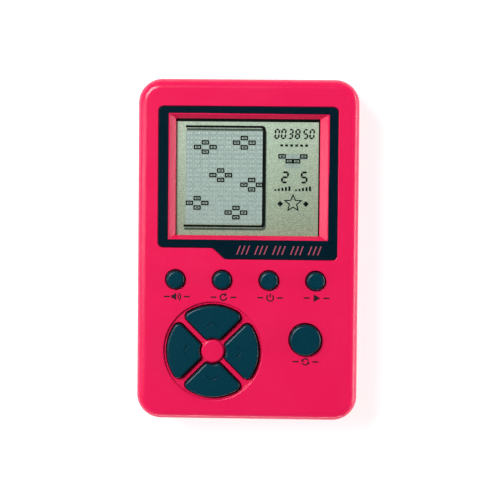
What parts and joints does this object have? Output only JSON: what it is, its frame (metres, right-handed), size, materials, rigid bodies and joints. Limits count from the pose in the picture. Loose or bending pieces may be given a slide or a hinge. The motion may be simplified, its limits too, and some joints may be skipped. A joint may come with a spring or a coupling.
{
  "type": "handheld game console",
  "caption": "Pocket game console: a rounded pink plastic case with a recessed grey-green display in a dark inlay, a round direction pad, a large round key and a row of small keys.",
  "frame": {"origin": "middle of the back face that the console lies on, at its foot print's centre", "axes": "+Z out of the front face, +Y towards the display end, +X to the player's right"},
  "size_m": [0.06, 0.0926, 0.0196],
  "materials": {
    "case_pink": "glossy moulded pink plastic",
    "inlay_dark": "smooth dark blue-green plastic",
    "key_teal": "matt dark teal moulding",
    "display_film": "clear film with a faint green tint",
    "display_glass": "clear glass",
    "display_reflector": "grey-green reflector film",
    "foam": "soft black foam",
    "zebra_rubber": "striped conductive rubber",
    "white_plastic": "plain white plastic",
    "board_green": "green coated board",
    "epoxy_black": "black epoxy",
    "black_plastic": "black plastic",
    "can_blue": "shrink sleeve",
    "chip_ceramic": "fired ceramic",
    "mat_rubber": "grey silicone rubber",
    "carbon": "carbon-loaded rubber",
    "screw_steel": "zinc-plated steel",
    "cell_jacket": "plain dark jacket",
    "contact_metal": "nickel-plated spring steel"
  },
  "bodies": {
    "case": {"front_shell": "case_pink", "rear_shell": "case_pink", "inlay_plate": "inlay_dark", "display_polariser": "display_film", "display_front_glass": "display_glass", "display_rear_glass": "display_glass", "display_reflector": "display_reflector", "display_pad": "foam", "zebra_strip": "zebra_rubber", "zebra_holder": "white_plastic", "main_board": "board_green", "chip_blob": "epoxy_black", "buzzer": "black_plastic", "capacitor": "can_blue", "board_chips": "chip_ceramic", "function_mat": "mat_rubber", "action_mat": "mat_rubber", "cell_upper": "cell_jacket", "cell_lower": "cell_jacket", "contact_bridge": "contact_metal", "contact_plus": "contact_metal", "contact_minus": "contact_metal", "case_screws": "screw_steel", "board_screws": "screw_steel"},
    "door": {"battery_door": "case_pink", "door_screw": "screw_steel"},
    "key_up": {"key_up": "key_teal", "pill_up": "carbon"},
    "key_down": {"key_down": "key_teal", "pill_down": "carbon"},
    "key_left": {"key_left": "key_teal", "pill_left": "carbon"},
    "key_right": {"key_right": "key_teal", "pill_right": "carbon"},
    "key_turn": {"key_turn": "key_teal", "pill_turn": "carbon"},
    "key_sound": {"key_sound": "key_teal", "pill_sound": "carbon"},
    "key_reset": {"key_reset": "key_teal", "pill_reset": "carbon"},
    "key_power": {"key_power": "key_teal", "pill_power": "carbon"},
    "key_start": {"key_start": "key_teal", "pill_start": "carbon"}
  },
  "joints": [
    {"name": "up_press", "type": "slide", "parent": "case", "child": "key_up", "axis": [0, 0, -1], "range_m": [0, 0.001], "stiffness_N_per_m": 600, "springref_m": -0.001, "deforming": ["action_mat"]},
    {"name": "down_press", "type": "slide", "parent": "case", "child": "key_down", "axis": [0, 0, -1], "range_m": [0, 0.001], "stiffness_N_per_m": 600, "springref_m": -0.001, "deforming": ["action_mat"]},
    {"name": "left_press", "type": "slide", "parent": "case", "child": "key_left", "axis": [0, 0, -1], "range_m": [0, 0.001], "stiffness_N_per_m": 600, "springref_m": -0.001, "deforming": ["action_mat"]},
    {"name": "right_press", "type": "slide", "parent": "case", "child": "key_right", "axis": [0, 0, -1], "range_m": [0, 0.001], "stiffness_N_per_m": 600, "springref_m": -0.001, "deforming": ["action_mat"]},
    {"name": "turn_press", "type": "slide", "parent": "case", "child": "key_turn", "axis": [0, 0, -1], "range_m": [0, 0.001], "stiffness_N_per_m": 600, "springref_m": -0.001, "deforming": ["action_mat"]},
    {"name": "sound_press", "type": "slide", "parent": "case", "child": "key_sound", "axis": [0, 0, -1], "range_m": [0, 0.001], "stiffness_N_per_m": 600, "springref_m": -0.001, "deforming": ["function_mat"]},
    {"name": "reset_press", "type": "slide", "parent": "case", "child": "key_reset", "axis": [0, 0, -1], "range_m": [0, 0.001], "stiffness_N_per_m": 600, "springref_m": -0.001, "deforming": ["function_mat"]},
    {"name": "power_press", "type": "slide", "parent": "case", "child": "key_power", "axis": [0, 0, -1], "range_m": [0, 0.001], "stiffness_N_per_m": 600, "springref_m": -0.001, "deforming": ["function_mat"]},
    {"name": "start_press", "type": "slide", "parent": "case", "child": "key_start", "axis": [0, 0, -1], "range_m": [0, 0.001], "stiffness_N_per_m": 600, "springref_m": -0.001, "deforming": ["function_mat"]},
    {"name": "door_lift", "type": "slide", "parent": "case", "child": "door", "axis": [0, 0, -1], "range_m": [0, 0.014]}
  ]
}
